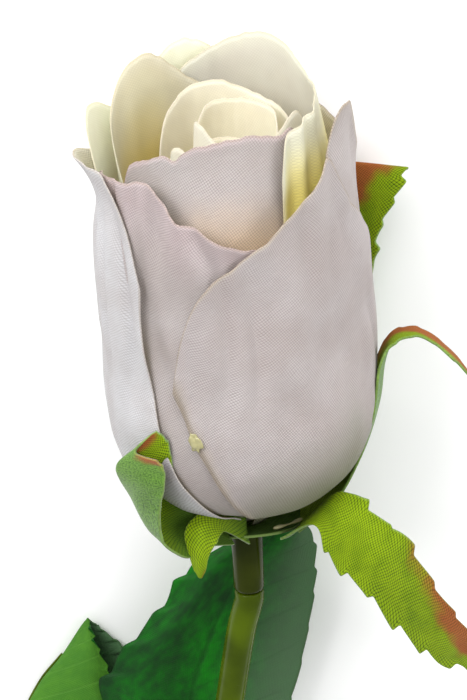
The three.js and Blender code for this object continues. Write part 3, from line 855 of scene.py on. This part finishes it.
def from_flower(x, y, z):
    return flower_to_row @ Vector((x, y, z))


def from_table(x, y, height):
    """A point at that height over the table, from under the bottom of the bud."""
    return Vector((foot_of_bud.x + x * MM, foot_of_bud.y + y * MM, height * MM))


def rod(name, line, radius_at, sides, steps):
    """A closed rod along a smooth line through the points. Its radius at a share of its length and
    an angle round it comes from radius_at."""
    spans = [(0, 0)]
    for k in range(1, len(line)):
        spans.append((k, spans[-1][1] + (line[k] - line[k - 1]).length))
    length = spans[-1][1]

    def at(share):
        shares = [travel / length for _, travel in spans]
        return Vector([along([(s, p[axis]) for s, p in zip(shares, line)], share) for axis in range(3)])

    tube = bmesh.new()
    bmesh.ops.create_cone(tube, segments=sides, radius1=1, radius2=1, depth=1)
    walls = [edge for edge in tube.edges if abs(edge.verts[0].co.z - edge.verts[1].co.z) > 0.5]
    bmesh.ops.subdivide_edges(tube, edges=walls, cuts=steps - 1, use_grid_fill=True)
    bmesh.ops.holes_fill(tube, edges=[edge for edge in tube.edges if edge.is_boundary])
    for vertex in tube.verts:
        share = vertex.co.z + 0.5
        ahead = (at(min(1, share + 0.01)) - at(max(0, share - 0.01))).normalized()
        side = ahead.cross(Vector((0, 0, 1))).normalized()
        over = side.cross(ahead)
        angle = math.atan2(vertex.co.y, vertex.co.x)
        radius = radius_at(share, angle) * MM
        vertex.co = at(share) + (side * math.cos(angle) + over * math.sin(angle)) * radius
    bmesh.ops.recalc_face_normals(tube, faces=tube.faces)
    piece = placed(name, tube)
    smoothed(piece, 4)
    rim = piece.modifiers.new("rim", "BEVEL")
    rim.width = 0.25 * MM
    rim.segments = 2
    rim.angle_limit = math.radians(60)
    return piece


def seam(angle):
    """The ridge that a mould leaves along both sides of a rod."""
    return 0.1 * math.exp(-((math.sin(angle) / 0.09) ** 2))


def plastic(name, body, shade, shine):
    finish = Finish(name)
    place = finish.add("ShaderNodeTexCoord", {}, {}, "Object")
    cloudy = finish.grain(place, 90.0, 3.0)
    fine = finish.grain(place, 900.0, 3.0)
    base = finish.blend(body, shade, cloudy.between(0.3, 0.75))
    normal = finish.bump(cloudy + fine * 0.15, 0.0002, 0.35)
    rough = (fine * 0.2 + (shine - 0.1)).between(0.0, 1.0)
    shell = finish.surface(
        Base_Color=base, Roughness=rough, Normal=normal, Coat_Weight=0.0, Specular_IOR_Level=0.1
    )
    return finish.done(shell)


stem_line = [
    from_flower(0, SOCKET_BOTTOM - GAP, 0),
    from_flower(0, SOCKET_BOTTOM - 2, 0),
    from_table(-0.6, -21.5, 20.6),
    from_table(-2.2, -34, 18.6),
    from_table(-5.4, -62, 14.2),
    from_table(-7.2, -92, 9.4),
    from_table(-6.6, -122, 5.2),
    from_table(-4, -155, 2.4),
]
stem_plastic = plastic("stem_plastic", colour(74, 92, 8), colour(50, 64, 4), 0.3)
piece = rod("moulded_stem", stem_line, lambda share, angle: STEM_RADIUS + seam(angle), 48, 90)
piece.data.materials.append(stem_plastic)
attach(piece, "root")
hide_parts("stem")

wire = Finish("stem_wire_steel")
grime = wire.speckle(700.0, 4.0)
tarnished = wire.blend(colour(168, 166, 160), colour(112, 106, 98), grime)
steel = wire.surface(Base_Color=tarnished, Metallic=1.0, Roughness=(grime * 0.3 + 0.2).between(0.0, 1.0))
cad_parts["stem_wire"].data.materials.clear()
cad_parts["stem_wire"].data.materials.append(wire.done(steel))

# ----------------------------------------------------------
# Head socket. Darker moulded plastic: a sleeve that takes the top of the stem, with a thin pin above
# it that carries the calyx and the foam core.
PIN_RADIUS = 1.8
PIN_TOP = 26
SLEEVE_BORE = 1.2
BORE_DEPTH = 8


def socket_outline():
    """Radius and height round the sleeve and up the pin, from the mouth of the bore."""
    return [
        (SLEEVE_BORE, SOCKET_BOTTOM + BORE_DEPTH), (SLEEVE_BORE, SOCKET_BOTTOM + 0.2),
        (SLEEVE_BORE + 0.2, SOCKET_BOTTOM),
        (SOCKET_RADIUS - 0.35, SOCKET_BOTTOM), (SOCKET_RADIUS - 0.05, SOCKET_BOTTOM + 0.25),
        (SOCKET_RADIUS, SOCKET_BOTTOM + 0.7), (SOCKET_RADIUS + 0.05, SOCKET_TOP - 1),
        (SOCKET_RADIUS - 0.1, SOCKET_TOP - 0.3), (SOCKET_RADIUS - 0.4, SOCKET_TOP), (PIN_RADIUS, SOCKET_TOP),
        (PIN_RADIUS, PIN_TOP - 1), (PIN_RADIUS - 0.6, PIN_TOP),
    ]


turned = bmesh.new()
profile = [turned.verts.new((radius, height, 0)) for radius, height in socket_outline()]
edges = [turned.edges.new(pair) for pair in zip(profile, profile[1:])]
bmesh.ops.spin(
    turned, geom=profile + edges, cent=(0, 0, 0), axis=(0, 1, 0), angle=2 * math.pi, steps=48, use_merge=True
)
bmesh.ops.holes_fill(turned, edges=[edge for edge in turned.edges if edge.is_boundary])
bmesh.ops.recalc_face_normals(turned, faces=turned.faces)
turned.transform(flower_to_row)
piece = placed("moulded_socket", turned)
smoothed(piece, 4)
piece.data.materials.append(plastic("socket_plastic", colour(52, 60, 8), colour(34, 42, 3), 0.25))
edge_split = piece.modifiers.new("rims", "EDGE_SPLIT")
edge_split.split_angle = math.radians(50)
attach(piece, "root")
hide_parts("head_socket")

# ----------------------------------------------------------
# Bud core. A bullet of white foam pushed on the pin, which the feet of the petals are glued to. It
# is hidden by them, so the solid's own shape is kept.
foam = Finish("core_foam")
cells = foam.speckle(1400.0, 3.0)
beads = foam.surface(
    Base_Color=foam.blend(colour(236, 234, 226), colour(206, 202, 190), cells),
    Roughness=0.9,
    Normal=foam.bump(cells, 0.0003, 0.6),
)
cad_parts["bud_core"].data.materials.clear()
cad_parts["bud_core"].data.materials.append(foam.done(beads))

# ----------------------------------------------------------
# Leaves. Three blades of green cloth, toothed and heat-pressed with a midrib and veins, dark on top
# and pale underneath. The left one is folded over along its midrib. Each is glued on its moulded rib.
LEAF_THICKNESS = 0.35


def leaf_cloth(name, body, light, vein, painted_sheen, shine, grain_share):
    finish = Finish(name)
    threads, place = woven(finish, 0.42, 0.4)
    across, ahead = finish.across("share")
    cloudy = finish.grain(place, 0.55, 4.0)
    mottled = finish.grain(place, 5.0, 5.0)
    base = finish.blend(body, light, (cloudy * 0.8 + mottled * 0.35 - 0.1).between(0.3, 0.8))
    base = finish.tint(base, colour(190, 200, 186), (1 - threads) * grain_share)
    # Painted sheen: a paler band along one side of each blade.
    base = finish.blend(base, painted_sheen, across.between(0.55, 0.95) * 0.8)
    off_rib = (across - 0.5).maths("ABSOLUTE") * 2
    rib = off_rib.between(0.05, 0.0)
    branch = (ahead * 9 - off_rib * 1.1).maths("FRACT")
    branches = (branch - 0.5).maths("ABSOLUTE").between(0.07, 0.0) * off_rib.between(0.98, 0.8)
    veins = rib.maths("MAXIMUM", branches * 0.3)
    base = finish.blend(base, vein, veins * 0.35)
    side, end = finish.across("edge")
    base = finish.tint(base, colour(190, 206, 150), side.between(0.06, 0.0) * 0.6)
    normal = finish.bump(threads * 0.25 + mottled * 0.5 - veins * 0.9, 0.00025, 0.6)
    cloth = finish.surface(Base_Color=base, Roughness=shine, Normal=normal, Specular_IOR_Level=0.22)
    return finish.thin(cloth, 0.15, colour(20, 120, 4))


leaf_top = leaf_cloth(
    "leaf_top", colour(10, 58, 16), colour(10, 138, 4), colour(6, 34, 8), colour(84, 116, 82), 0.5, 0.5
)
leaf_under = leaf_cloth(
    "leaf_under", colour(62, 118, 30), colour(84, 142, 36), colour(110, 160, 70), colour(80, 130, 40), 0.7, 0.4
)

LEAVES = [
    {"name": "leaf_middle", "rows": [
        [(-8, -63, -14.5)] * 5,
        [(-15.5, -58, -14), (-12, -58, -13), (-9, -59, -14), (-5.5, -58, -13.5), (-2, -56.5, -14)],
        [(-24, -51, -13.5), (-18.5, -51, -11.5), (-10.5, -52, -13), (-3, -51, -12.5), (3.5, -50, -13.5)],
        [(-26, -41.5, -13), (-19, -40.5, -10.5), (-11, -42.5, -12), (-2.5, -42.5, -11.5), (6.5, -43.5, -13)],
        [(-21, -32.5, -12), (-15, -31, -9.5), (-8, -32.5, -11.5), (0.5, -32, -10.5), (9, -32.5, -12)],
        [(-13.8, -23, -11.5), (-9, -21.5, -9), (-4, -22.5, -11), (3.5, -22, -10), (10.5, -23, -11)],
        [(-8.8, -15.5, -11), (-4.5, -14, -9), (-0.5, -15.5, -10.5), (5, -15, -10), (11, -16, -11)],
        [(-2, -11.5, -11), (1, -10, -9.5), (4, -10.5, -10.5), (7.5, -10, -10), (10.5, -10, -11)],
        [(7, -6.5, -11)] * 5],
     "teeth": {"count": 11, "first": 0.05, "depth": 1.5, "right": 0.3}, "grid": (30, 104)},
    {"name": "leaf_left", "rows": [
        [(-15, -67.5, -17)] * 5,
        [(-21, -62, -15.5), (-24.5, -65, -15.5), (-27, -68, -17), (-23, -65, -17.5), (-19, -61, -17)],
        [(-26, -56.5, -14.5), (-32.5, -58, -14), (-38, -61, -17), (-31, -58.5, -18), (-21.5, -56, -17.5)],
        [(-24.5, -50, -14.5), (-32, -49, -13.5), (-41, -51, -17.5), (-32, -52, -19), (-21.5, -51, -18.5)],
        [(-24, -42.5, -15), (-30.5, -41, -14), (-38, -43.5, -18), (-29, -44.5, -19.5), (-21, -43.5, -19)],
        [(-26, -36.5, -16), (-29, -35, -15), (-33.5, -37.5, -18), (-28, -38, -19.5), (-23, -37, -19)],
        [(-27.5, -32, -17), (-28.5, -31.5, -16.5), (-30, -32, -18), (-28.5, -33, -19), (-26.5, -33, -19)],
        [(-28.5, -30, -18)] * 5],
     "teeth": {"count": 13, "first": 0.1, "depth": 1.2}, "grid": (40, 96)},
    {"name": "leaf_right", "rows": [
        [(1.5, -67, -17), (1.5, -67, -17), (1.5, -67, -17)],
        [(8, -57.5, -17.5), (9.5, -66, -15.2), (11, -74, -17.5)],
        [(18, -54, -17.5), (20, -66, -14.4), (21.5, -77.5, -17.5)],
        [(29, -53, -18), (30.5, -65, -15.4), (32, -76.5, -18)],
        [(38, -56, -19), (38.5, -63.5, -17.4), (40, -70, -19)],
        [(45, -61.5, -19), (45, -61.5, -19), (45, -61.5, -19)]],
     "teeth": {"count": 12, "first": 0.08, "depth": 1.2}, "grid": (24, 90)},
]

for leaf in LEAVES:
    size = net_size(leaf)
    blade = bmesh.new()
    lay_cloth(blade, lambda u, v: net_place(leaf, u, v), *leaf["grid"], size)
    piece, area = cloth_piece("cloth_" + leaf["name"], blade, LEAF_THICKNESS, (leaf_top, leaf_under))
    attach(piece, "root")
    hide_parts(leaf["name"])
    size[0] * MM
    size[1] * MM

# ----------------------------------------------------------
# Leaf stalk. One small moulding: a clip round the stem, a short trunk under it, and three tapering
# ribs that the leaves are glued along.
CLIP_RADIUS = 3.4
TRUNK_RADIUS = 1.1
RIB_RADIUS = 0.65
fork = from_table(-6.2, -71, 4.6)
clip_line = [stem_line[4].lerp(stem_line[5], share) for share in (0.68, 0.8, 0.92)]
under_clip = clip_line[1] - Vector((0, 0, (CLIP_RADIUS - 0.4) * MM))
trunk_line = [under_clip, under_clip.lerp(fork, 0.5), fork]
stalk_parts = [
    rod("moulded_clip", clip_line, lambda share, angle: CLIP_RADIUS, 40, 8),
    rod("moulded_trunk", trunk_line, lambda share, angle: TRUNK_RADIUS, 20, 12),
]
for leaf in LEAVES:
    middles = [row[len(row) // 2] for row in leaf["rows"][:-2]]
    rib_line = [fork] + [from_flower(x, y, z - LEAF_THICKNESS - RIB_RADIUS) for x, y, z in middles]
    rib_name = leaf["name"].replace("leaf_", "moulded_rib_")
    stalk_parts.append(rod(rib_name, rib_line, lambda share, angle: RIB_RADIUS * (1.3 - share), 16, 40))
for piece in stalk_parts:
    piece.data.materials.append(stem_plastic)
    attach(piece, "root")
    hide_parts("leaf_stalk")

# ----------------------------------------------------------
# Dried glue. A flake that ran out over a petal's edge near the left sepal, and a clear string of it
# along the calyx, both of hot-melt glue.
glue = Finish("hot_melt_glue")
milk = glue.speckle(900.0, 3.0)
glue_shader = glue.surface(
    Base_Color=glue.blend(colour(172, 167, 126), colour(138, 132, 86), milk),
    Roughness=0.25,
    Normal=glue.bump(milk, 0.0003, 0.7),
    Coat_Weight=0.5,
)
glue_finish = glue.done(glue_shader)
FLAKE_ANGLE = math.radians(-18.6)
FLAKE_HEIGHT = 24.6
FLAKE_OUT = BUD_RADIUS + 0.2
flake_middle = (FLAKE_OUT * math.sin(FLAKE_ANGLE), FLAKE_HEIGHT, FLAKE_OUT * math.cos(FLAKE_ANGLE))
flake = bmesh.new()
bmesh.ops.create_icosphere(flake, subdivisions=4, radius=1)
for vertex in flake.verts:
    vertex.co *= 1 + 0.5 * noise.noise(vertex.co * 1.7 + Vector((3, 1, 4)))
flake.transform(
    flower_to_row
    @ Matrix.Translation(flake_middle)
    @ Matrix.Rotation(FLAKE_ANGLE, 4, "Y")
    @ Matrix.Rotation(0.4, 4, "Z")
    @ Matrix.Diagonal((0.95, 1.5, 0.35, 1))
)
flake_piece = placed("glue_flake", flake)
smoothed(flake_piece, 0)
string_line = [from_flower(4.4, 0.9, 6.6), from_flower(6.8, 1.1, 5.8), from_flower(9.2, 1.4, 4.6)]
string_piece = rod("glue_string", string_line, lambda share, angle: 0.24 + 0.1 * math.sin(9 * share), 12, 20)
for piece in (flake_piece, string_piece):
    piece.data.materials.append(glue_finish)
    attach(piece, "root")
    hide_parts("glue_drop")

# ----------------------------------------------------------
# The table, the lights and the camera. The rose lies on white paper under three soft lamps in a
# pale room. The camera looks down on it and a little into it.
LIFT = math.radians(25)
DISTANCE = 0.5
SEEN_HEIGHT = 0.1148
SENSOR_HEIGHT = 24
AIM_LEFT = 0.00205
AIM_UP = 0.0269
ROOM_LIGHT = 0.64

floor_mesh = bmesh.new()
bmesh.ops.create_grid(floor_mesh, x_segments=1, y_segments=1, size=3)
table = placed("table", floor_mesh)
paper = Finish("table_paper")
table.data.materials.append(paper.done(paper.surface(Base_Color=(0.97, 0.97, 0.97, 1), Roughness=0.9)))


def softbox(name, place, aim, size, power):
    lamp = bpy.data.lights.new(name, "AREA")
    lamp.shape = "DISK"
    lamp.size = size
    lamp.energy = power
    holder = bpy.data.objects.new(name, lamp)
    holder.location = place
    holder.rotation_euler = (Vector(aim) - Vector(place)).to_track_quat("-Z", "Y").to_euler()
    bpy.context.scene.collection.objects.link(holder)


bud_middle = flower_to_row @ Vector((0, 35, 0))
softbox("key", bud_middle + Vector((-0.55, 0.6, 0.6)), bud_middle, 0.7, 9.5)
softbox("top", bud_middle + Vector((0.1, 0.85, 0.45)), bud_middle, 0.6, 5.5)
softbox("side", bud_middle + Vector((0.75, 0.1, 0.5)), bud_middle, 0.5, 3.5)

world = bpy.data.worlds.new("room")
world.use_nodes = True
world.node_tree.nodes["Background"].inputs["Color"].default_value = (1, 1, 1, 1)
world.node_tree.nodes["Background"].inputs["Strength"].default_value = ROOM_LIGHT
bpy.context.scene.world = world
bpy.context.scene.view_settings.view_transform = "Standard"

across = Vector((1, 0, 0))
upward = Vector((0, math.cos(LIFT), -math.sin(LIFT)))
backward = Vector((0, math.sin(LIFT), math.cos(LIFT)))
aim_point = foot_of_bud - across * AIM_LEFT + upward * AIM_UP
camera_data = bpy.data.cameras.new("camera")
camera_data.sensor_fit = "VERTICAL"
camera_data.sensor_height = SENSOR_HEIGHT
camera_data.lens = SENSOR_HEIGHT * DISTANCE / SEEN_HEIGHT
camera_data.clip_start = 0.01
camera = bpy.data.objects.new("camera", camera_data)
camera.location = aim_point + backward * DISTANCE
camera.rotation_euler = (-LIFT, 0, 0)
bpy.context.scene.collection.objects.link(camera)
bpy.context.scene.camera = camera
